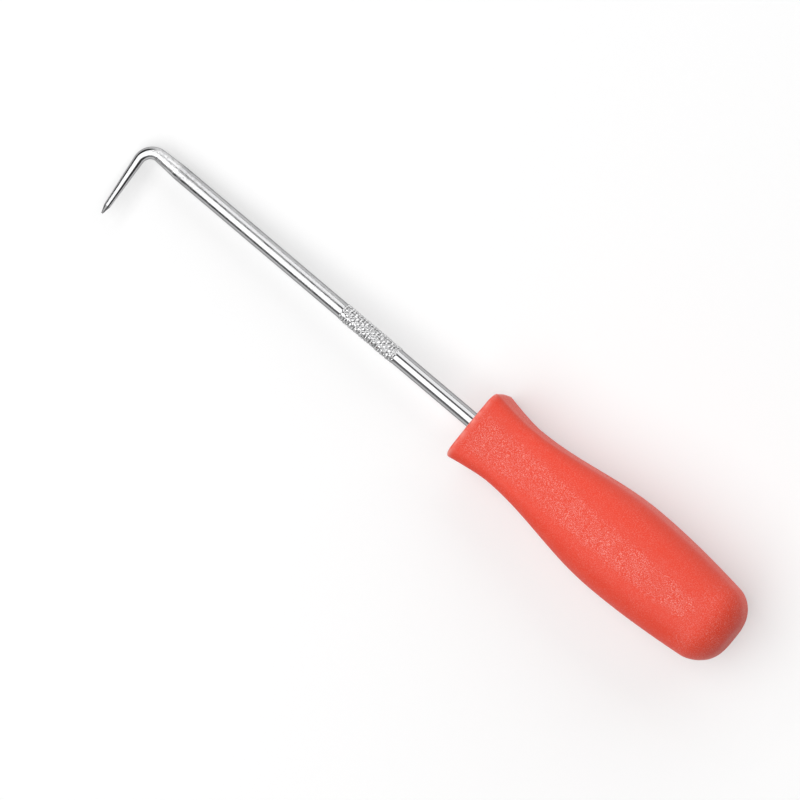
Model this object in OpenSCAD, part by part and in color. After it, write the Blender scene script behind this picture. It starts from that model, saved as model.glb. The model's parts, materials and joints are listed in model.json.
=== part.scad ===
// O-ring pick: a bent, pointed and knurled steel wire with a red handle moulded round its tang.
// The origin is the centre of the handle's front face, where the wire comes out. The wire runs towards +X,
// the hook points towards +Y, and the tool lies as it rests on a table, on the flange and the belly.

/* [Wire] */
// Diameter of the wire
shaft_d = 3.0; // [2.4:0.1:4]
// Handle's front face to the corner where the centre lines of the wire and the hook cross
shaft_reach = 78.9; // [65:0.1:110]

/* [Hook] */
// Angle between the hook and the wire
hook_angle = 85.5; // [70:0.5:110]
// That corner to the end of the point
hook_length = 14.75; // [11:0.05:20]
// Radius of the bend's centre line
bend_r = 2.8; // [2.1:0.1:3.5]
// Diameter through the bend, where the ground taper has reached it
neck_d = 2.2; // [1.6:0.1:2.4]
// Length of the taper on the straight wire, up to the bend
taper_length = 4.4; // [3:0.1:9]
// Diameter of the hook where the point begins
shoulder_d = 1.2; // [0.8:0.05:1.5]
// Length of the conical point
point_length = 1.7; // [1:0.1:3]
// Diameter of the blunted end of the point
point_end_d = 0.3; // [0.1:0.05:0.5]

/* [Knurl] */
// Bare wire between the handle and the knurl
knurl_gap = 19; // [10:0.1:30]
// Length of the knurled band
knurl_length = 13.1; // [8:0.1:20]
// Height of the diamonds' crests above the wire
knurl_rise = 0.18; // [0.12:0.01:0.3]
// Depth of the grooves below the crests
knurl_depth = 0.3; // [0.2:0.01:0.4]
// Grooves that run round each way
knurl_starts = 8; // [7:1:14]
// Angle between a groove and the wire
knurl_angle = 45; // [30:1:50]
// Length of the plain collar at each end of the band
collar_length = 0.3; // [0.2:0.05:0.6]
// Height of the collar above the wire
collar_rise = 0.03; // [0.02:0.01:0.1]

/* [Tang] */
// Length of wire inside the handle
tang_length = 38; // [32:1:48]
// Chamfer at the tang's end
tang_chamfer = 0.5; // [0.2:0.1:0.8]
// Front of the pressed wings, behind the handle's front face
wing_at = 22; // [12:1:28]
// Length of the wings along the wire
wing_length = 8; // [5:0.5:9]
// Width across both wings
wing_w = 5.4; // [4.5:0.1:7]
// Thickness of the wings
wing_t = 0.8; // [0.6:0.1:1.2]
// Space between the tang and the moulding, all round
tang_clearance = 0.02; // [0.01:0.01:0.1]

/* [Handle] */
// Length of the handle
handle_length = 60; // [52:1:80]
// Width of the square front flange across its flats
flange_w = 14.6; // [13:0.1:16]
// Corner radius from the flange to the waist
flange_corner_r = 2; // [1:0.1:3]
// Radius of the edge round the front face
front_edge_r = 0.6; // [0.3:0.1:0.9]
// Width at the waist
waist_w = 12.5; // [10:0.1:14]
// How the flange flares to the front: 1 straight, 2 as a parabola
flare_power = 1.4; // [1.2:0.1:2.2]
// Waist behind the front face
waist_at = 8.5; // [6:0.5:12]
// Width at the belly
belly_w = 18; // [15:0.1:20]
// Belly behind the front face
belly_at = 35; // [28:1:42]
// Corner radius from the belly back
belly_corner_r = 5.2; // [3:0.1:6]
// Width that the flanks close to at the butt
butt_w = 14.4; // [13:0.1:17]
// Radius of the butt's edge
butt_edge_r = 5; // [3:0.5:5]

/* [Hidden] */

shaft_r = shaft_d / 2;

// Hook: the bend turns the wire, and takes the same tangent length from both centre lines.
hook_turn = 180 - hook_angle;
bend_tangent = bend_r * tan(hook_turn / 2);
bend_start = shaft_reach - bend_tangent;
leg_taper = hook_length - bend_tangent - point_length;

// The straight wires end inside the bend, which is larger all round by a hair to hold them.
neck_r = neck_d / 2;
bend_overlap = 0.25;
bend_rise = 0.02;

// Knurl: rows and columns of half a diamond, with an even collar at each end for the grooves to run out in.
// The wire ends inside the collars, and the band is solid between them.
knurl_end = knurl_gap + knurl_length;
crest_r = shaft_r + knurl_rise;
groove_r = crest_r - knurl_depth;
collar_r = (shaft_r + collar_rise) / cos(90 / knurl_starts);
collar_overlap = collar_length / 2;
knurl_columns = 2 * knurl_starts;
diamond_length = 2 * PI * crest_r / knurl_starts / tan(knurl_angle);
knurl_rows = 2 * round((knurl_length - 2 * collar_length) / diamond_length);
knurl_step = (knurl_length - 2 * collar_length) / knurl_rows;

// Handle: half widths, and how finely its curves are divided.
flange_h = flange_w / 2;
waist_h = waist_w / 2;
belly_h = belly_w / 2;
butt_h = butt_w / 2;
edge_steps = 3;
flare_steps = 8;
swell_steps = 14;
tail_steps = 7;
butt_steps = 8;
corner_steps = 6;
$fn = 96;

// Half width of the handle at a distance behind its front face: flare to the waist, swell to the belly, tail.
function half_width(back) =
    back < waist_at
        ? waist_h + (flange_h - waist_h) * flare(back)
    : back < belly_at
        ? waist_h + (belly_h - waist_h) * wave((back - waist_at) / (belly_at - waist_at))
    : belly_h - (belly_h - butt_h) * (1 - cos(90 * (back - belly_at) / (handle_length - belly_at)));

// Share of the flare that is left behind the front face: 1 up to the front edge, 0 at the waist.
function flare(back) = pow(min((waist_at - back) / (waist_at - front_edge_r), 1), flare_power);

// Smooth rise from 0 to 1.
function wave(share) = (1 - cos(180 * share)) / 2;

// Corner radius of the handle at a distance behind its front face: the corners fade behind the waist.
function corner_r(back) =
    let (share = (back - waist_at) / (belly_at - waist_at))
    flange_corner_r + (belly_corner_r - flange_corner_r) * wave(max(0, min(share, 1)));

// Stations along the handle, each a distance behind the front face and an inset for the rounded end edges.
stations = [
    for (i = [0:edge_steps])
        let (turn = 90 * i / edge_steps)
        [front_edge_r * (1 - cos(turn)), front_edge_r * (1 - sin(turn))],
    for (i = [1:flare_steps])
        [front_edge_r + (waist_at - front_edge_r) * i / flare_steps, 0],
    for (i = [1:swell_steps])
        [waist_at + (belly_at - waist_at) * i / swell_steps, 0],
    for (i = [1:tail_steps])
        [belly_at + (handle_length - butt_edge_r - belly_at) * i / tail_steps, 0],
    for (i = [1:butt_steps])
        let (turn = 90 * i / butt_steps)
        [handle_length - butt_edge_r * (1 - sin(turn)), butt_edge_r * (1 - cos(turn))],
];

// The tool tips forward until the flange's lower edge and the belly both touch the table.
rest_tilt = atan(max([
    for (s = stations)
        if (s[0] > waist_at)
            (half_width(s[0]) - s[1] - flange_h) / (s[0] - front_edge_r)
]));

// Rounded square in a plane across the wire.
function section(x, half, radius) = [
    for (quarter = [0:3])
        for (k = [0:corner_steps])
            let (turn = 90 * (quarter + k / corner_steps), centre = half - radius)
            [
                x,
                centre * (quarter == 0 || quarter == 3 ? 1 : -1) + radius * cos(turn),
                centre * (quarter < 2 ? 1 : -1) + radius * sin(turn)
            ]
];

// Section of the handle at a station.
function handle_section(station) =
    let (full = half_width(station[0]), half = full - station[1])
    section(-station[0], half, corner_r(station[0]) * half / full);

// Even ring round the wire.
function ring(x, radius, count) = [
    for (j = [0:count - 1])
        [x, radius * cos(360 * j / count), radius * sin(360 * j / count)]
];

// Radius of the knurl at a row and column: crests and groove crossings take turns between the collars.
function knurl_r(i, j) =
    i == 0 || i == knurl_rows ? collar_r
    : (i + j) % 2 == 1 ? groove_r
    : crest_r;

// Row of the knurl, the collars' inner edges among them.
function knurl_row(i) = [
    for (j = [0:knurl_columns - 1])
        let (radius = knurl_r(i, j), turn = 360 * j / knurl_columns)
        [knurl_gap + collar_length + i * knurl_step, radius * cos(turn), radius * sin(turn)]
];

// Solid through closed sections of equal point count, from low to high X. Each cell is split along the
// diagonal that joins its even corners, so that the knurl's grooves run straight.
module skin(sections) {
    count = len(sections[0]);
    last = len(sections) - 1;
    points = [for (s = sections) each s];
    walls = [
        for (i = [0:last - 1], j = [0:count - 1])
            let (
                next = (j + 1) % count,
                a = i * count + j,
                b = a + count,
                c = (i + 1) * count + next,
                d = i * count + next
            )
            each ((i + j) % 2 == 0 ? [[a, b, c], [a, c, d]] : [[a, b, d], [b, c, d]])
    ];
    ends = [
        [for (j = [0:count - 1]) j],
        [for (j = [count - 1:-1:0]) last * count + j]
    ];
    polyhedron(points, concat(walls, ends));
}

// Turns a solid made along +Z to lie along the wire.
module along_wire() {
    rotate([0, 90, 0])
        children();
}

// Puts the tool, made straight along X, down on the table.
module rest_pose() {
    rotate([0, rest_tilt, 0])
        children();
}

// Wire from the tang's end to the knurl, with the pressed wings. It is larger all round by a given space for
// the hollow that the tang fills.
module rear_wire(space) {
    back = tang_length + space;
    front = knurl_gap + collar_overlap;
    radius = shaft_r + space;
    along_wire()
        rotate_extrude()
            polygon([
                [0, -back],
                [radius - tang_chamfer, -back],
                [radius, tang_chamfer - back],
                [radius, front],
                [0, front]
            ]);
    translate([-wing_at - wing_length - space, -wing_w / 2 - space, -wing_t / 2 - space])
        cube([wing_length + 2 * space, wing_w + 2 * space, wing_t + 2 * space]);
}

// Wire from the knurl to the bend, with the start of the ground taper.
module front_wire() {
    back = knurl_end - collar_overlap;
    along_wire()
        rotate_extrude()
            polygon([
                [0, back],
                [shaft_r, back],
                [shaft_r, bend_start - taper_length],
                [neck_r, bend_start],
                [neck_r, bend_start + bend_overlap],
                [0, bend_start + bend_overlap]
            ]);
}

// Rolled diamond knurl, with a plain collar at each end.
module knurl() {
    skin([
        ring(knurl_gap, collar_r, knurl_columns),
        for (i = [0:knurl_rows]) knurl_row(i),
        ring(knurl_end, collar_r, knurl_columns)
    ]);
}

// Bend, and the hook's ground leg with its point.
module hook() {
    translate([bend_start, bend_r, 0]) {
        rotate_extrude(angle = hook_turn, start = -90)
            translate([bend_r, 0])
                circle(neck_r + bend_rise);
        rotate([0, 0, hook_turn])
            translate([0, -bend_r, 0])
                along_wire()
                    rotate_extrude()
                        polygon([
                            [0, -bend_overlap],
                            [neck_r, -bend_overlap],
                            [neck_r, 0],
                            [shoulder_d / 2, leg_taper],
                            [point_end_d / 2, leg_taper + point_length],
                            [0, leg_taper + point_length]
                        ]);
    }
}

module pick_shaft() {
    color("#c3c6ca")
        rest_pose() {
            rear_wire(0);
            knurl();
            front_wire();
            hook();
        }
}

module handle() {
    color("#e8584a")
        rest_pose()
            difference() {
                skin([for (i = [len(stations) - 1:-1:0]) handle_section(stations[i])]);
                rear_wire(tang_clearance);
            }
}

pick_shaft();
handle();
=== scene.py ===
"""O-ring pick: fine meshes, finishes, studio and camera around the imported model.

Sizes of the tool are in millimetres along the straightened tool: X along the wire from the handle's front
face, Y the way the hook points, Z up. The frame's rest tilt turns them into the row's frame, in metres.
"""

import json
import math

import bpy
import numpy as np
from mathutils import Matrix, Vector, noise


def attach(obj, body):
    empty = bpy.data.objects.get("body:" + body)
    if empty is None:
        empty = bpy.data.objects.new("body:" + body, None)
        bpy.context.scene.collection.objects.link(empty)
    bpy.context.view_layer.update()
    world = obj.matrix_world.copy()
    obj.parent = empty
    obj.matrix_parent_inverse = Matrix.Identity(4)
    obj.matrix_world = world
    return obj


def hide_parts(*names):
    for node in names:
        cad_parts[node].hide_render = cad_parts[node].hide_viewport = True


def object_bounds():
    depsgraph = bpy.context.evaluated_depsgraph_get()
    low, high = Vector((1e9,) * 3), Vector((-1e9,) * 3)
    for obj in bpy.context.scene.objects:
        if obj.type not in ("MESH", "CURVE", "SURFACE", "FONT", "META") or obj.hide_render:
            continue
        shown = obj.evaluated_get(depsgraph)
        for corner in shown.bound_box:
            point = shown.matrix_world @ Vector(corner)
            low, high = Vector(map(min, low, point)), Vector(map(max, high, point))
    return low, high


MM = 0.001

# Wire and hook
WIRE_R = 1.5
REACH = 78.9
BEND_R = 2.8
HOOK_TURN = math.radians(94.5)
HOOK_LENGTH = 14.75
TAPER_LENGTH = 4.4
TAPER_STEP_LENGTH = 1.2
TAPER_STEP_R = 1.4
TAPER_BLEND = 0.4
TAPER_BLEND_FADE = 2.0
TAPER_LEAD = 1.0
BEND_IN_R = 1.25
BEND_OUT_R = 0.96
SHOULDER_R = 0.6
SHOULDER_EDGE = 0.01
POINT_LENGTH = 1.7
POINT_END_R = 0.15

# Tang, hidden in the handle
TANG = 38.0
TANG_CHAMFER = 0.5
WING_AT = 22.0
WING_LENGTH = 8.0
WING_HALF_W = 2.7
WING_HALF_T = 0.4
WING_LEAD = 0.05
TANG_CLEARANCE = 0.02

# Knurl
KNURL_GAP = 19.0
KNURL_LENGTH = 13.1
KNURL_COLLAR = 0.3
KNURL_RISE = 0.18
KNURL_DEPTH = 0.3
KNURL_STARTS = 8
KNURL_DIAMONDS = 10
KNURL_CRUSH = 0.62
KNURL_LEFT_CUT = 1.25
KNURL_END_FADE = 0.6
KNURL_WORK = 0.92
KNURL_UNEVEN = 0.35
KNURL_UNEVEN_SCALE = (0.55, 1.3)
KNURL_FINE = 0.09
KNURL_FINE_SCALE = (2.6, 4.6)
KNURL_SEAM = math.radians(69.4)
KNURL_SEAM_HALF = 0.26
KNURL_SEAM_LOSS = 0.75
KNURL_SEAM_LEAD = 5.0

# Handle
HANDLE_LENGTH = 60.0
FLANGE_H = 7.3
FLANGE_CORNER = 2.0
FLARE_POWER = 1.4
FRONT_EDGE = 0.6
FRONT_CROWN = 0.05
FLAT_SAG = 0.15
WAIST_H = 6.25
WAIST_AT = 8.5
BELLY_H = 9.0
BELLY_AT = 35.0
BELLY_CORNER = 5.2
BUTT_H = 7.2
BUTT_EDGE = 5.0
BORE_EDGE = 0.05
FRONT_BLEND = 4.0
# Front edge: rubbed smoother and painted with a pale highlight, fading over this length behind the face.
RUB_AND_HIGHLIGHT_START = 0.1
RUB_AND_HIGHLIGHT_LENGTH = 1.4
GRAIN_CORNER = 0.3
GRAIN_BLEND = 1.6
GRAIN_FRONT = 0.6
GRAIN_BUTT = 0.6

# Camera: how the tool lies to the view, and where the handle's front face comes in the picture
VIEW_TILT = math.radians(11.3)
VIEW_ROLL = math.radians(6.4)
SCREEN_TURN = math.radians(40.31)
PIXELS_PER_MM = 5.61
FRONT_PIXEL = (477.25, 424.6)
FRAME_PIXELS = 800
VIEW_DISTANCE = 2000.0
VIEW_END = 20000.0
SENSOR_MM = 36.0

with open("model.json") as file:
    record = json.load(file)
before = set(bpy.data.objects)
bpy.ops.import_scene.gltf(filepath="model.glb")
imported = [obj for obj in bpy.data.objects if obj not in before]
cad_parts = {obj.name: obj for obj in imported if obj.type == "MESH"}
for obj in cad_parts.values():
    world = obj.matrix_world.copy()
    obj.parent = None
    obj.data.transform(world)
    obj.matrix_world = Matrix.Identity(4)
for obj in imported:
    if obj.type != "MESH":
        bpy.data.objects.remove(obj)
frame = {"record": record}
cad_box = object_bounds()

mounts = {mount["name"]: mount for mount in frame["record"]["mounts"]}
front_axis = Vector(mounts["front_face"]["axis"]).normalized()
side_axis = Vector((0, 1, 0))
TOOL = Matrix((front_axis, side_axis, front_axis.cross(side_axis))).transposed()


def to_row(points):
    """Points of the straightened tool, in millimetres, in the row's frame in metres."""
    return np.asarray(points) @ np.array(TOOL).T * MM


def ease(x):
    """Smooth rise from 0 to 1."""
    x = np.clip(x, 0, 1)
    return x * x * (3 - 2 * x)


def skin(name, rings):
    """Mesh object through rings of equal point count, each end closed by a fan."""
    count = len(rings[0])
    last = len(rings) - 1
    points = np.vstack(list(rings) + [np.mean(rings[0], axis=0), np.mean(rings[-1], axis=0)])
    faces = []
    for j in range(count):
        k = (j + 1) % count
        for i in range(last):
            a, b = i * count, (i + 1) * count
            faces.append((a + j, a + k, b + k, b + j))
        faces.append(((last + 1) * count, k, j))
        faces.append(((last + 1) * count + 1, last * count + j, last * count + k))
    mesh = bpy.data.meshes.new(name)
    mesh.from_pydata(to_row(points).tolist(), [], faces)
    mesh.polygons.foreach_set("use_smooth", [True] * len(mesh.polygons))
    mesh.update()
    obj = bpy.data.objects.new(name, mesh)
    bpy.context.scene.collection.objects.link(obj)
    return obj


def add_values(obj, name, rings):
    """Stores one value a point, by ring, on a skinned mesh."""
    attribute = obj.data.attributes.new(name, "FLOAT", "POINT")
    values = np.concatenate(list(rings) + [[rings[0][0], rings[-1][0]]])
    attribute.data.foreach_set("value", values.astype(np.float32))


def winged_section(radius, half_w, half_t, count):
    """Outline across the tang's wings, from +Y round to +Z: a disc with a flat bar through it."""
    quarter = count // 4
    side = quarter // 8
    flat = quarter // 4
    root = math.asin(half_t / radius)
    outline = [(half_w, half_t * k / side) for k in range(side)]
    inner = radius * math.cos(root)
    outline += [(half_w + (inner - half_w) * k / flat, half_t) for k in range(flat)]
    arc = quarter - side - flat
    turns = [root + (math.pi / 2 - root) * k / arc for k in range(arc)]
    outline += [(radius * math.cos(t), radius * math.sin(t)) for t in turns]
    first = np.array(outline)
    top = np.array([(0.0, radius)])
    second = np.vstack([top, first[:0:-1] * (-1, 1)])
    return np.vstack([first, second, -first, -second])


def across(x, outline):
    """Ring of a Y, Z outline at a place along the tool."""
    return np.column_stack([np.full(len(outline), x), outline])


# Wire

BEND_TANGENT = BEND_R * math.tan(HOOK_TURN / 2)
BEND_START = REACH - BEND_TANGENT
BEND_END = BEND_START + BEND_R * HOOK_TURN
POINT_END = BEND_END + HOOK_LENGTH - BEND_TANGENT
SHOULDER = POINT_END - POINT_LENGTH
TAPER_START = BEND_START - TAPER_LENGTH
KNURL_END = KNURL_GAP + KNURL_LENGTH
TAPER_BLEND_STEPS = 9
POINTS_A_START = 20
AROUND = POINTS_A_START * KNURL_STARTS
THETA = np.arange(AROUND) / AROUND * math.tau


def wire_place(s):
    """Centre and heading of the wire at a length along it from the handle's front face."""
    if s <= BEND_START:
        return np.array([s, 0.0, 0.0]), 0.0
    turn = min((s - BEND_START) / BEND_R, HOOK_TURN)
    leg = max(s - BEND_END, 0)
    x = BEND_START + BEND_R * math.sin(turn) + leg * math.cos(turn)
    y = BEND_R * (1 - math.cos(turn)) + leg * math.sin(turn)
    return np.array([x, y, 0.0]), turn


def wire_radius(s):
    """Radius of the wire: ground taper round the bend and down to the point, blended but for the point."""
    stations = [TAPER_START, TAPER_START + TAPER_STEP_LENGTH, BEND_START, BEND_END, SHOULDER]
    radii = [WIRE_R, TAPER_STEP_R, BEND_IN_R, BEND_OUT_R, SHOULDER_R]
    if s > SHOULDER:
        return SHOULDER_R + (POINT_END_R - SHOULDER_R) * (s - SHOULDER) / POINT_LENGTH
    blend = TAPER_BLEND * ease((SHOULDER - s) / TAPER_BLEND_FADE)
    nearby = s + blend * np.linspace(-1, 1, TAPER_BLEND_STEPS)
    return np.mean(np.interp(nearby, stations, radii))


def uneven_round(s, scale):
    """Noise round the wire, by its scales along and across."""
    lengthwise, crosswise = scale
    place = [(lengthwise * s, crosswise * math.cos(t), crosswise * math.sin(t)) for t in THETA]
    return np.array([noise.noise(p) for p in place])


def knurl_work(s):
    """How far the knurl was rolled in, round the wire: weak at its ends and along one uneven seam."""
    uneven = KNURL_UNEVEN * uneven_round(s, KNURL_UNEVEN_SCALE)
    from_end = min(s - KNURL_GAP, KNURL_END - s)
    ends = ease((from_end + uneven) / KNURL_END_FADE)
    seam = np.exp(-(((THETA - KNURL_SEAM) / KNURL_SEAM_HALF) ** 2))
    seam = seam * ease((s - KNURL_GAP - KNURL_SEAM_LEAD) / KNURL_SEAM_LEAD)
    return ends * (KNURL_WORK + uneven) * (1 - KNURL_SEAM_LOSS * seam)


def knurl_height(s):
    """Height above the plain wire, depth below the crests and working, each round the knurled band."""
    along = (s - KNURL_GAP - KNURL_COLLAR) / (KNURL_LENGTH - 2 * KNURL_COLLAR) * KNURL_DIAMONDS
    turns = THETA / math.tau * KNURL_STARTS + 0.5
    right = 1 - np.abs(2 * ((turns + along) % 1) - 1)
    left = 1 - np.abs(2 * ((turns - along) % 1) - 1)
    crest = np.minimum(np.minimum(right, KNURL_LEFT_CUT * left), KNURL_CRUSH) / KNURL_CRUSH
    fine = KNURL_FINE * uneven_round(s, KNURL_FINE_SCALE)
    work = knurl_work(s)
    height = work * (KNURL_RISE - KNURL_DEPTH * (1 - crest) + fine)
    return np.minimum(height, KNURL_RISE), work * (1 - crest), work


def wire_stations():
    """Lengths along the bare wire at which it has a ring: spans, each with its count of rings."""
    spans = [
        (0, KNURL_GAP, 24),
        (KNURL_GAP, KNURL_END, 168),
        (KNURL_END, TAPER_START - TAPER_LEAD, 30),
        (TAPER_START - TAPER_LEAD, BEND_START, 40),
        (BEND_START, BEND_END, 48),
        (BEND_END, SHOULDER, 44),
        (SHOULDER + SHOULDER_EDGE, POINT_END, 16),
    ]
    return np.unique(np.concatenate([np.linspace(*span) for span in spans]))


def build_wire():
    """The whole wire as one mesh, with its own coordinates for the finish."""
    disc = np.column_stack([np.cos(THETA), np.sin(THETA)])
    wings = winged_section(WIRE_R, WING_HALF_W, WING_HALF_T, AROUND)
    rings = [
        across(-TANG, (WIRE_R - TANG_CHAMFER) * disc),
        across(TANG_CHAMFER - TANG, WIRE_R * disc),
        across(-WING_AT - WING_LENGTH, WIRE_R * disc),
        across(WING_LEAD - WING_AT - WING_LENGTH, wings),
        across(-WING_AT - WING_LEAD, wings),
        across(-WING_AT, WIRE_R * disc),
    ]
    grooves = [np.zeros(AROUND) for _ in rings]
    works = [np.zeros(AROUND) for _ in rings]
    lengths = [ring[0][0] for ring in rings]
    for s in wire_stations():
        centre, turn = wire_place(s)
        radius = np.full(AROUND, wire_radius(s))
        groove = np.zeros(AROUND)
        work = np.zeros(AROUND)
        if KNURL_GAP < s < KNURL_END:
            height, groove, work = knurl_height(s)
            radius = radius + height
        heading = np.array([[-math.sin(turn), math.cos(turn), 0.0], [0.0, 0.0, 1.0]])
        rings.append(centre + radius[:, None] * (disc @ heading))
        grooves.append(groove)
        works.append(work)
        lengths.append(s)
    wire = skin("wire", rings)
    coords = [across(s, WIRE_R * disc) for s in lengths]
    ends = [[(lengths[0], 0, 0), (lengths[-1], 0, 0)]]
    place = wire.data.attributes.new("wire_place", "FLOAT_VECTOR", "POINT")
    place.data.foreach_set("vector", np.vstack(coords + ends).astype(np.float32).ravel())
    add_values(wire, "groove", grooves)
    add_values(wire, "knurl", works)
    return wire


# Handle

CORNER_STEPS = 20
FLAT_STEPS = 20
FRONT_RINGS = 11
FLARE_RINGS = 40
SWELL_RINGS = 80
TAIL_RINGS = 50
BUTT_RINGS = 30


def half_width(back):
    """Half width of the handle behind its front face: flare to the waist, swell to the belly, tail."""
    if back < WAIST_AT:
        share = min((WAIST_AT - back) / (WAIST_AT - FRONT_EDGE), 1)
        return WAIST_H + (FLANGE_H - WAIST_H) * share**FLARE_POWER
    if back < BELLY_AT:
        share = (back - WAIST_AT) / (BELLY_AT - WAIST_AT)
        return WAIST_H + (BELLY_H - WAIST_H) * (1 - math.cos(math.pi * share)) / 2
    share = (back - BELLY_AT) / (HANDLE_LENGTH - BELLY_AT)
    return BELLY_H - (BELLY_H - BUTT_H) * (1 - math.cos(math.pi / 2 * share))


def corner_radius(back):
    """Corner radius of the handle: even to the waist, growing from there to the belly."""
    share = min(max((back - WAIST_AT) / (BELLY_AT - WAIST_AT), 0), 1)
    return FLANGE_CORNER + (BELLY_CORNER - FLANGE_CORNER) * (1 - math.cos(math.pi * share)) / 2


def rounded_square(half, radius):
    """Closed outline from the middle of the +Y flat, each flat a little lower where it meets its arcs."""
    outline = []
    sag = FLAT_SAG * (half - radius) / (FLANGE_H - FLANGE_CORNER)
    flat = half - sag - radius
    steps = np.arange(FLAT_STEPS // 2) / (FLAT_STEPS // 2)
    sides = [(half - sag * ease(k), flat * k) for k in steps]
    ends = [(half - sag * ease(1 - k), flat * (1 - k)) for k in steps]
    for quarter in range(4):
        start = quarter * math.pi / 2
        out = np.array([math.cos(start), math.sin(start)])
        on = np.array([-out[1], out[0]])
        outline += [out * rise + on * reach for rise, reach in sides]
        turns = [math.pi / 2 * k / CORNER_STEPS for k in range(CORNER_STEPS)]
        outline += [(out + on) * flat + radius * (out * math.cos(t) + on * math.sin(t)) for t in turns]
        outline += [on * rise + out * reach for rise, reach in ends]
    return np.array(outline)


def flat_share(half, radius):
    """How far each point of that outline lies inside a flat: least on the arcs, 1 well inside."""
    rise = ease((half - radius) / GRAIN_BLEND * np.arange(FLAT_STEPS // 2) / (FLAT_STEPS // 2))
    inside = GRAIN_CORNER + (1 - GRAIN_CORNER) * rise
    side = np.concatenate([inside[::-1], np.full(CORNER_STEPS, GRAIN_CORNER), inside])
    return np.tile(side, 4)


def handle_stations():
    """Distances behind the front face and insets of the rings from the front face to the butt."""
    turns = np.linspace(0, math.pi / 2, FRONT_RINGS)
    front = [(FRONT_EDGE * (1 - math.cos(t)), FRONT_EDGE * (1 - math.sin(t))) for t in turns]
    flare = [(b, 0) for b in np.linspace(FRONT_EDGE, WAIST_AT, FLARE_RINGS)[1:]]
    swell = [(b, 0) for b in np.linspace(WAIST_AT, BELLY_AT, SWELL_RINGS)[1:]]
    tail = [(b, 0) for b in np.linspace(BELLY_AT, HANDLE_LENGTH - BUTT_EDGE, TAIL_RINGS)[1:]]
    turns = np.linspace(0, math.pi / 2, BUTT_RINGS)[1:]
    butt = [(HANDLE_LENGTH - BUTT_EDGE * (1 - math.sin(t)), BUTT_EDGE * (1 - math.cos(t))) for t in turns]
    return [(0, 2 * FRONT_EDGE)] + front + flare + swell + tail + butt


def build_handle():
    """The moulding as one closed mesh, hollow where the tang is."""
    space = TANG_CLEARANCE
    square = rounded_square(FLANGE_H, FLANGE_CORNER)
    disc = square / np.linalg.norm(square, axis=1)[:, None]
    bore = (WIRE_R + space) * disc
    wings = winged_section(WIRE_R + space, WING_HALF_W + space, WING_HALF_T + space, len(square))
    rings = [
        across(-TANG - space, bore * (1 - TANG_CHAMFER / WIRE_R)),
        across(TANG_CHAMFER - TANG - space, bore),
        across(-WING_AT - WING_LENGTH - space, bore),
        across(WING_LEAD - WING_AT - WING_LENGTH - space, wings),
        across(space - WING_AT - WING_LEAD, wings),
        across(space - WING_AT, bore),
        across(-BORE_EDGE, bore),
        across(0, (WIRE_R + space + BORE_EDGE) * disc),
    ]
    edge = [np.zeros(len(square)) for _ in rings]
    grain = [np.zeros(len(square)) for _ in rings]
    for back, inset in handle_stations():
        full = half_width(back)
        half = full - inset
        radius = corner_radius(back) * half / full
        ring = across(-back, rounded_square(half, radius))
        behind = ease(back / FRONT_BLEND)
        crown = FRONT_CROWN * (1 - behind) * half / FLANGE_H
        ring[:, 0] -= crown * (np.sum(ring[:, 1:] ** 2, axis=1) / half**2 - 1)
        rings.append(ring)
        # The front edge is rubbed smoother, and its colour is paled as a painted highlight.
        rub_and_highlight = 1 - ease((back - RUB_AND_HIGHLIGHT_START) / RUB_AND_HIGHLIGHT_LENGTH) if inset <= FRONT_EDGE else 0.0
        edge.append(np.full(len(square), rub_and_highlight))
        butt = ease((back - HANDLE_LENGTH + 2 * BUTT_EDGE) / BUTT_EDGE)
        depth = flat_share(half, radius) * (1 - butt) + GRAIN_BUTT * butt
        grain.append(depth * (GRAIN_FRONT + (1 - GRAIN_FRONT) * behind))
    grip = skin("grip", rings[::-1])
    add_values(grip, "edge", edge[::-1])
    add_values(grip, "grain", grain[::-1])
    return grip


# Finishes

WHITE = (1, 1, 1, 1)

# Plating: its colours, how many marks run along and across a millimetre of wire, and how deep in metres
PLATING = (0.48, 0.48, 0.488, 1)
MATT_METAL = (0.78, 0.78, 0.785, 1)
# Darkest colour: for chips and speckle, and for the painted shade and dark reflection on grooves, point and
# pits.
DARK_WEAR_AND_PAINTED_SHADE = (0.02, 0.02, 0.021, 1)
PLATING_GLANCE = (0.15, 0.15, 0.155, 1)
LINE_MARKS = (0.12, 6.0, 6.0)
SCUFF_MARKS = (0.5, 1.8, 1.8)
SPECKLE_MARKS = (4.0, 6.0, 6.0)
FLECK_MARKS = (0.95, 3.6, 3.6)
CHIP_MARKS = (1.6, 4.5, 4.5)
LINE_DEPTH = 0.00004
FLECK_DEPTH = 0.00005
PIT_DEPTH = 0.00004

# Wear along the wire, and where its painted shade and painted dark reflection lie, from where each begins
# to where it is full
GROUND_IN = (TAPER_START - 0.4, TAPER_START + 0.4)
GROUND_OUT = (BEND_START + 3.0, BEND_START + 0.5)
SCUFF_IN = (KNURL_END, KNURL_END + 2)
SCUFF_OUT = (BEND_START + 3.0, BEND_START)
PIT_AND_REFLECTION_BAND_IN = (50, TAPER_START - 3)
WORN_IN = (TAPER_START - 9, TAPER_START - 2)
POINT_IN = (SHOULDER - 0.05, SHOULDER + 0.05)

# Wear, and the band of pits with its painted dark reflection, across the wire: in millimetres from its axis
# towards the hook's side, and up
PIT_AND_REFLECTION_BAND_TOWARDS_TOP = (0.5, 0.62)
PIT_AND_REFLECTION_BAND_TOWARDS_SIDE = (1.02, 0.88)
PIT_AND_REFLECTION_BAND_HEIGHT = (0.3, 0.8)
SCUFF_FLANK = (0.42, 0.68)

# Heights of the noise between which each mark comes up
SCUFF_RANGE = (0.35, 0.51)
PIT_RANGE = (0.38, 0.48)
CHIP_RANGE = (0.52, 0.6)
SPECK_RANGE = (0.5, 0.66)
MIDDLE_RANGE = (0.35, 0.65)
WIDE_RANGE = (0.3, 0.7)
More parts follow.
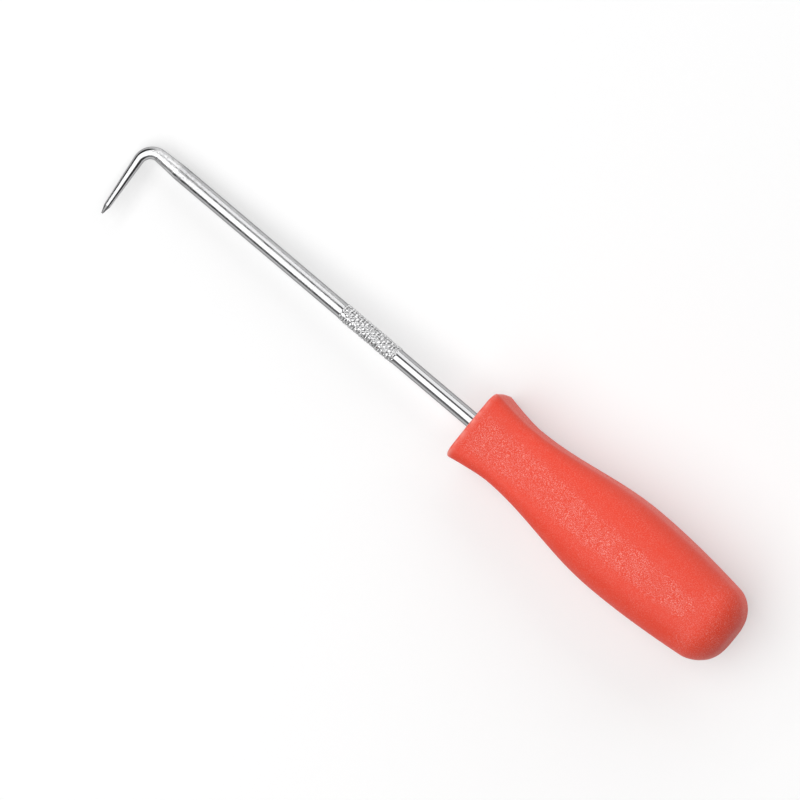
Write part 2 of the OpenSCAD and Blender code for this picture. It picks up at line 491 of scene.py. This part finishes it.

# How much each kind of wear, painted shade and painted dark reflection shows
PIT_AND_REFLECTION_BAND_LEAST = 0.5
SCUFF_LEAST = 0.15
PIT_GAPS = 0.07
LIGHT_GROUND = 0.6
LIGHT_SCUFFS = 0.2
# Painted shade: how far the knurl's grooves are darkened by their depth.
PAINTED_GROOVE_SHADE = 0.2
# The pits are real marks, darkened along their band as a painted dark reflection.
DARK_PITS_AND_REFLECTION = 0.9
# Painted shade: the point's colour is darkened for the darker reflections on its cone.
PAINTED_POINT_SHADE = 0.5
DARK_CHIPS = 0.45
DARK_SPECKLE = 0.12
ROUGH_LINES = (0.04, 0.08)
ROUGH_SCUFFS = 0.22
ROUGH_GROUND = 0.08
ROUGH_MATT = 0.24
BUMP_LINES = 0.05
BUMP_FLECKS = 0.8
BUMP_PITS = 0.3

# Red plastic: its colours, how many marks come to a metre, and how much each kind shows
RED = (0.8, 0.057, 0.026, 1)
PALE_RED = (0.93, 0.5, 0.44, 1)
RED_SPREAD = (1.0, 0.25, 0.12)
RED_SPREAD_SCALE = 0.0012
RED_SPREAD_WEIGHT = 0.12
RED_SHINE = 0.3
RED_ROUGH = 0.52
RUB_ROUGH = 0.36
GRAIN_MARKS = 4200.0
SPECK_MARKS = 6500.0
PATCH_MARKS = 220.0
# Painted highlight on the front edge: how many pale marks come to a metre, and how pale they are.
EDGE_HIGHLIGHT_MARKS = 700.0
PALE_PATCHES = (0.38, 0.6)
PAINTED_EDGE_HIGHLIGHT = (0.14, 0.44)
BUMP_GRAIN = (0.2, 0.7)
GRAIN_DEPTH = 0.00006


class Graph:
    """Builds a node tree in short calls."""

    def __init__(self, tree):
        self.tree = tree
        tree.nodes.clear()

    def add(self, kind, inputs=None, **settings):
        node = self.tree.nodes.new(kind)
        for key, value in settings.items():
            setattr(node, key, value)
        for key, value in (inputs or {}).items():
            if isinstance(value, bpy.types.NodeSocket):
                self.tree.links.new(value, node.inputs[key])
            else:
                node.inputs[key].default_value = value
        return node

    def noise(self, vector, scale, detail=2.0, roughness=0.5):
        inputs = {"Vector": vector, "Scale": scale, "Detail": detail, "Roughness": roughness}
        return self.add("ShaderNodeTexNoise", inputs).outputs["Fac"]

    def streaks(self, vector, marks, detail=2.0, roughness=0.5):
        stretched = self.add("ShaderNodeMapping", {"Vector": vector, "Scale": marks}).outputs["Vector"]
        return self.noise(stretched, 1.0, detail, roughness)

    def value(self, name):
        return self.add("ShaderNodeAttribute", attribute_name=name).outputs["Fac"]

    def remap(self, value, low, high, to_low=0.0, to_high=1.0):
        inputs = {"Value": value, "From Min": low, "From Max": high, "To Min": to_low, "To Max": to_high}
        return self.add("ShaderNodeMapRange", inputs, interpolation_type="SMOOTHSTEP").outputs["Result"]

    def math(self, operation, a, b):
        return self.add("ShaderNodeMath", {0: a, 1: b}, operation=operation).outputs[0]

    def product(self, result, *factors):
        for factor in factors:
            result = self.math("MULTIPLY", result, factor)
        return result

    def total(self, result, *terms):
        for term in terms:
            result = self.math("ADD", result, term)
        return result

    def mix(self, factor, a, b):
        return self.add("ShaderNodeMix", {0: factor, 6: a, 7: b}, data_type="RGBA").outputs[2]

    def bump(self, height, strength, distance, normal=None):
        inputs = {"Height": height, "Strength": strength, "Distance": distance}
        if normal is not None:
            inputs["Normal"] = normal
        return self.add("ShaderNodeBump", inputs).outputs["Normal"]

    def surface(self, **inputs):
        shader = self.add("ShaderNodeBsdfPrincipled", {k.replace("_", " "): v for k, v in inputs.items()})
        self.add("ShaderNodeOutputMaterial", {"Surface": shader.outputs[0]})


def new_material(name):
    """Material and the graph to build it in."""
    material = bpy.data.materials.new(name)
    material.use_nodes = True
    return material, Graph(material.node_tree)


def plated_steel():
    """Bright plating on drawn wire: scuffed and flecked towards the taper, matt on knurl and point, with
    painted shade in the knurl's grooves and on the point and a painted dark reflection on a band of pits.
    """
    material, g = new_material("plated_steel")
    place = g.add("ShaderNodeAttribute", attribute_name="wire_place").outputs["Vector"]
    groove = g.value("groove")
    knurl = g.value("knurl")
    along, inward, up = g.add("ShaderNodeSeparateXYZ", {"Vector": place}).outputs
    ground = g.product(g.remap(along, *GROUND_IN), g.remap(along, *GROUND_OUT))
    front = g.product(g.remap(along, *SCUFF_IN), g.remap(along, *SCUFF_OUT))
    worn = g.product(front, g.remap(along, *WORN_IN))
    # The point is matt, and its colour is darkened as painted shade.
    point = g.remap(along, *POINT_IN)
    # Band of pits towards the hook's side of the top: real pitting, darkened where the wire mirrors dark
    # surroundings, a painted dark reflection.
    pit_and_reflection_band = g.product(
        front,
        g.remap(along, *PIT_AND_REFLECTION_BAND_IN, PIT_AND_REFLECTION_BAND_LEAST, 1.0),
        g.remap(inward, *PIT_AND_REFLECTION_BAND_TOWARDS_TOP),
        g.remap(inward, *PIT_AND_REFLECTION_BAND_TOWARDS_SIDE),
        g.remap(up, *PIT_AND_REFLECTION_BAND_HEIGHT),
    )

    lines = g.streaks(place, LINE_MARKS, detail=3.0)
    patches = g.remap(g.streaks(place, SCUFF_MARKS, detail=4.0, roughness=0.7), *SCUFF_RANGE)
    scuffs = g.product(front, patches, g.remap(inward, *SCUFF_FLANK, 1.0, SCUFF_LEAST))
    speckle = g.remap(g.streaks(place, SPECKLE_MARKS), *MIDDLE_RANGE, -DARK_SPECKLE, DARK_SPECKLE)
    speckle = g.product(g.total(front, knurl), speckle)
    flecks = g.streaks(place, FLECK_MARKS, detail=4.0, roughness=0.7)
    broken = g.math("SUBTRACT", flecks, g.product(worn, PIT_GAPS))
    pits_and_dark_reflection = g.product(pit_and_reflection_band, g.remap(broken, *PIT_RANGE))
    chips = g.streaks(place, CHIP_MARKS, detail=4.0, roughness=0.75)
    chips = g.product(worn, g.remap(chips, *CHIP_RANGE, 0.0, DARK_CHIPS))

    light = g.total(knurl, g.product(ground, LIGHT_GROUND), g.product(scuffs, LIGHT_SCUFFS))
    # Darkening in the knurl's grooves and on the point is painted shade; on the band of pits it is partly a
    # painted dark reflection.
    dark = g.total(g.product(groove, PAINTED_GROOVE_SHADE), g.product(pits_and_dark_reflection, DARK_PITS_AND_REFLECTION), g.product(point, PAINTED_POINT_SHADE))
    colour = g.mix(g.total(dark, speckle, chips), g.mix(light, PLATING, MATT_METAL), DARK_WEAR_AND_PAINTED_SHADE)
    rough = g.total(
        g.remap(lines, *WIDE_RANGE, *ROUGH_LINES),
        g.product(scuffs, ROUGH_SCUFFS),
        g.product(ground, ROUGH_GROUND),
        g.product(g.total(knurl, point), ROUGH_MATT),
    )
    normal = g.bump(lines, BUMP_LINES, LINE_DEPTH)
    normal = g.bump(flecks, g.product(worn, BUMP_FLECKS), FLECK_DEPTH, normal)
    normal = g.bump(pits_and_dark_reflection, BUMP_PITS, PIT_DEPTH, normal)
    g.surface(
        Base_Color=colour,
        Metallic=1.0,
        Roughness=rough,
        Specular_Tint=PLATING_GLANCE,
        Normal=normal,
    )
    return material


def red_plastic():
    """Moulded red plastic: eroded grain on its flats, smooth corners, rubbed smoother along the front edge,
    and a pale highlight painted along it.
    """
    material, g = new_material("red_plastic")
    place = g.add("ShaderNodeTexCoord").outputs["Object"]
    edge = g.value("edge")
    flat = g.value("grain")
    grain = g.noise(place, GRAIN_MARKS)
    specks = g.remap(g.noise(place, SPECK_MARKS, detail=1.0), *SPECK_RANGE)
    patches = g.remap(g.noise(place, PATCH_MARKS), *WIDE_RANGE, *PALE_PATCHES)
    # Pale noise along the front edge is a painted highlight; the specks on the flats are the plastic's own.
    edge_highlight = g.remap(g.noise(place, EDGE_HIGHLIGHT_MARKS, detail=3.0), *MIDDLE_RANGE, *PAINTED_EDGE_HIGHLIGHT)
    pale = g.math("MAXIMUM", g.product(specks, patches, flat), g.product(edge, edge_highlight))
    g.surface(
        Base_Color=g.mix(pale, RED, PALE_RED),
        Roughness=g.remap(edge, 0.0, 1.0, RED_ROUGH, RUB_ROUGH),
        Specular_IOR_Level=RED_SHINE,
        Normal=g.bump(grain, g.remap(flat, GRAIN_CORNER, 1.0, *BUMP_GRAIN), GRAIN_DEPTH),
        Subsurface_Weight=RED_SPREAD_WEIGHT,
        Subsurface_Radius=RED_SPREAD,
        Subsurface_Scale=RED_SPREAD_SCALE,
    )
    return material


def dress(piece, material, node):
    """Gives a piece its finish, hangs it under the root body and hides the CAD node that it stands for."""
    piece.data.materials.append(material)
    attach(piece, "root")
    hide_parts(node)


dress(build_wire(), plated_steel(), "pick_shaft")
dress(build_handle(), red_plastic(), "handle")


# Studio

FLOOR_HALF = 3.0
FLOOR_TONE = (0.6, 0.6, 0.6, 1)
FLOOR_ROUGH = 0.9
FLOOR_SHINE = 0.1
FLOOR_GLOW = 0.36

# Lamps: places in metres, angles from the zenith in degrees, brightness of their surface
OVERHEAD_HEIGHT = 0.7
OVERHEAD_X = (-0.36, 0.6)
OVERHEAD_Y = (-0.165, 0.8)
OVERHEAD_RADIANCE = 2.05
SIDE_DISTANCE = 0.75
SIDE_ANGLES = (38, 83)
SIDE_X = 0.15
SIDE_WIDTH = 1.05
SIDE_RADIANCE = 1.5
STRIP_ANGLES = (45, 51)
STRIP_WIDTH = 0.9
STRIP_RADIANCE = 3.2

# Surroundings: the ends go by the square of a direction's X, the low part by its Y and Z
WORLD_RADIANCE = 0.22
WORLD_END = (0.15, 0.6)
WORLD_END_RADIANCE = 0.08
WORLD_LOW_SIDE = (0.6, 0.9)
WORLD_LOW_HEIGHT = (0.26, 0.14)
WORLD_LOW_RADIANCE = 0.6


def add_floor():
    """Plain pale floor under the tool."""
    z = cad_box[0].z
    corners = [(x * FLOOR_HALF, y * FLOOR_HALF, z) for x, y in ((-1, -1), (1, -1), (1, 1), (-1, 1))]
    mesh = bpy.data.meshes.new("floor")
    mesh.from_pydata(corners, [], [(0, 1, 2, 3)])
    floor = bpy.data.objects.new("floor", mesh)
    bpy.context.scene.collection.objects.link(floor)
    material, g = new_material("floor_paint")
    path = g.add("ShaderNodeLightPath").outputs
    seen = g.math("MAXIMUM", path["Is Camera Ray"], path["Is Glossy Ray"])
    seen = g.math("MAXIMUM", seen, path["Is Transmission Ray"])
    g.surface(
        Base_Color=FLOOR_TONE,
        Roughness=FLOOR_ROUGH,
        Specular_IOR_Level=FLOOR_SHINE,
        Emission_Color=WHITE,
        Emission_Strength=g.product(seen, FLOOR_GLOW),
    )
    mesh.materials.append(material)


def add_softbox(name, place, aim, size, radiance):
    """Area lamp at a place, facing a point, by the brightness of its surface."""
    lamp = bpy.data.lights.new(name, "AREA")
    lamp.shape = "RECTANGLE"
    lamp.size, lamp.size_y = size
    lamp.energy = radiance * math.pi * size[0] * size[1]
    obj = bpy.data.objects.new(name, lamp)
    obj.location = place
    facing = Vector(aim) - Vector(place)
    obj.rotation_euler = facing.to_track_quat("-Z", "Y").to_euler()
    obj.visible_camera = False
    bpy.context.scene.collection.objects.link(obj)


def add_overhead():
    """Level softbox over the table."""
    x, y = sum(OVERHEAD_X) / 2, sum(OVERHEAD_Y) / 2
    size = (OVERHEAD_X[1] - OVERHEAD_X[0], OVERHEAD_Y[1] - OVERHEAD_Y[0])
    add_softbox("overhead", (x, y, OVERHEAD_HEIGHT), (x, y, 0), size, OVERHEAD_RADIANCE)


def lamp_band(low, high):
    """Reach from the axis, height and breadth of a softbox that fills the angles between two."""
    middle, half = math.radians((low + high) / 2), math.radians((high - low) / 2)
    breadth = 2 * SIDE_DISTANCE * math.tan(half)
    return SIDE_DISTANCE * math.sin(middle), SIDE_DISTANCE * math.cos(middle), breadth


def add_side():
    """Softbox at the side away from the hook."""
    reach, height, breadth = lamp_band(*SIDE_ANGLES)
    add_softbox("side", (SIDE_X, -reach, height), (SIDE_X, 0, 0), (SIDE_WIDTH, breadth), SIDE_RADIANCE)


def add_strip():
    """Narrow softbox beyond the hook."""
    reach, height, breadth = lamp_band(*STRIP_ANGLES)
    add_softbox("strip", (reach, 0, height), (0, 0, 0), (STRIP_WIDTH, breadth), STRIP_RADIANCE)


def add_world():
    """Dim surroundings, darker at both ends of the table and paler low down on the hook's side."""
    world = bpy.data.worlds.new("studio")
    world.use_nodes = True
    g = Graph(world.node_tree)
    sky = g.add("ShaderNodeTexCoord").outputs["Generated"]
    x, y, z = g.add("ShaderNodeSeparateXYZ", {"Vector": sky}).outputs
    ends = g.remap(g.product(x, x), *WORLD_END, WORLD_RADIANCE, WORLD_END_RADIANCE)
    low = g.remap(z, *WORLD_LOW_HEIGHT, 0.0, WORLD_LOW_RADIANCE - WORLD_RADIANCE)
    strength = g.total(ends, g.product(g.remap(y, *WORLD_LOW_SIDE), low))
    background = g.add("ShaderNodeBackground", {"Color": WHITE, "Strength": strength})
    g.add("ShaderNodeOutputWorld", {"Surface": background.outputs[0]})
    bpy.context.scene.world = world


def add_camera():
    """Long lens, turned so that the tool lies across the picture."""
    tilt_c, tilt_s = math.cos(VIEW_TILT), math.sin(VIEW_TILT)
    roll_c, roll_s = math.cos(VIEW_ROLL), math.sin(VIEW_ROLL)
    along = Vector((-tilt_c, roll_s * tilt_s, -roll_c * tilt_s))
    beside = Vector((0, -roll_c, -roll_s))
    back = Vector((-tilt_s, -roll_s * tilt_c, roll_c * tilt_c))
    turn_c, turn_s = math.cos(SCREEN_TURN), math.sin(SCREEN_TURN)
    right = turn_c * along + turn_s * beside
    up = -turn_s * along + turn_c * beside
    shift_right = (FRONT_PIXEL[0] - FRAME_PIXELS / 2) / PIXELS_PER_MM
    shift_down = (FRONT_PIXEL[1] - FRAME_PIXELS / 2) / PIXELS_PER_MM
    place = back * VIEW_DISTANCE - right * shift_right + up * shift_down
    data = bpy.data.cameras.new("camera")
    data.sensor_width = SENSOR_MM
    data.lens = SENSOR_MM * VIEW_DISTANCE * PIXELS_PER_MM / FRAME_PIXELS
    data.clip_end = VIEW_END * MM
    camera = bpy.data.objects.new("camera", data)
    turn = TOOL @ Matrix((right, up, back)).transposed()
    camera.matrix_world = Matrix.Translation(TOOL @ (place * MM)) @ turn.to_4x4()
    bpy.context.scene.collection.objects.link(camera)
    bpy.context.scene.camera = camera


add_floor()
add_overhead()
add_side()
add_strip()
add_world()
add_camera()
bpy.context.scene.view_settings.view_transform = "Standard"
